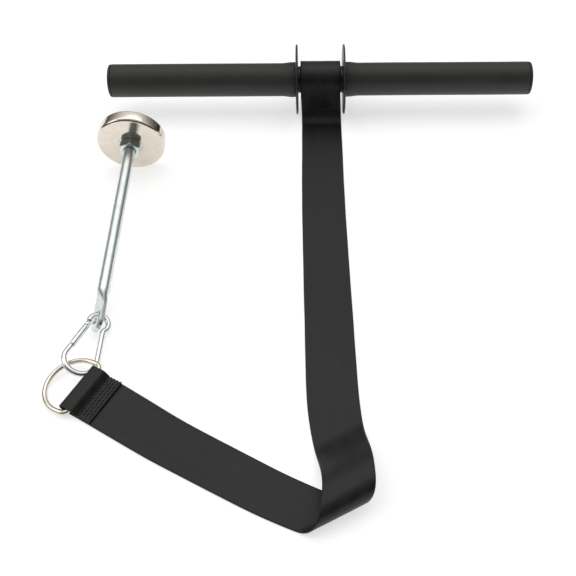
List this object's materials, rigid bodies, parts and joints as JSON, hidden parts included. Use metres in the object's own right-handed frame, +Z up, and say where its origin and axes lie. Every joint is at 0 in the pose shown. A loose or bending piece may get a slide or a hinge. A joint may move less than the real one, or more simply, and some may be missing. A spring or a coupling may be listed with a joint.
{
  "type": "wrist roller",
  "caption": "Wrist roller: foam grip bar with a flanged drum, webbing strap, D-ring, snap hook and a loading pin with a round base.",
  "frame": {"origin": "middle of the outline, on the surface that the object lies on", "axes": "+Z up, +Y from the strap's soft corner towards the grip bar, +X along the bar to its right end"},
  "size_m": [0.4079, 0.4946, 0.066],
  "materials": {
    "black_steel": "satin black",
    "foam": "matte closed-cell foam",
    "end_plug": "moulded black",
    "webbing": "woven black polyester",
    "thread": "black bonded thread",
    "zinc": "bright zinc plate",
    "hook_zinc": "polished zinc plate",
    "nickel": "polished nickel plate"
  },
  "bodies": {
    "strap": {"strap_run": "webbing", "strap_corner": "webbing", "strap_tail": "webbing", "strap_end_loop": "webbing", "strap_stitching": "thread"},
    "wound_turn": {"strap_outer_turn": "webbing"},
    "bar": {"core_tube": "black_steel", "left_flange": "black_steel", "right_flange": "black_steel", "left_grip": "foam", "right_grip": "foam", "left_end_plug": "end_plug", "right_end_plug": "end_plug", "strap_anchor_screw": "zinc", "strap_inner_turns": "webbing"},
    "ring": {"d_ring": "nickel"},
    "hook": {"hook_body": "hook_zinc"},
    "gate": {"hook_gate": "hook_zinc", "gate_rivet": "hook_zinc", "gate_spring": "hook_zinc"},
    "pin": {"eye_rod": "zinc", "lock_nut": "zinc", "base_disc": "nickel"}
  },
  "joints": [
    {"name": "strap_wind", "type": "slide", "parent": "strap", "child": "wound_turn", "axis": [0, -1, 0], "range_m": [-0.1, 0.055], "deforming": ["strap_run"]},
    {"name": "bar_turn", "type": "hinge", "parent": "wound_turn", "child": "bar", "pos_m": [0.0015, 0.2144, 0.033], "axis": [-1, 0, 0], "range_deg": [-360, 200]},
    {"name": "ring_swing", "type": "hinge", "parent": "strap", "child": "ring", "pos_m": [-0.17238, -0.13414, 0.0064], "axis": [0.4526, 0.8844, 0.1138], "range_deg": [0, 40]},
    {"name": "hook_swing", "type": "hinge", "parent": "ring", "child": "hook", "pos_m": [-0.17933, -0.11039, 0.00707], "axis": [0.9853, -0.0364, -0.1672], "range_deg": [0, 45]},
    {"name": "pin_swing", "type": "hinge", "parent": "hook", "child": "pin", "pos_m": [-0.17227, -0.06478, 0.00844], "axis": [0.8943, 0.1746, -0.4119], "range_deg": [0, 45]},
    {"name": "gate_open", "type": "hinge", "parent": "hook", "child": "gate", "pos_m": [-0.179, -0.07625, 0.01059], "axis": [0.4303, -0.0836, 0.8988], "range_deg": [0, 22], "stiffness_Nm_per_rad": 0.2, "springref_deg": -14.32}
  ],
  "couplings": [
    {"joint": "bar_turn", "follows": "strap_wind", "rad_per_m": 59.3}
  ]
}
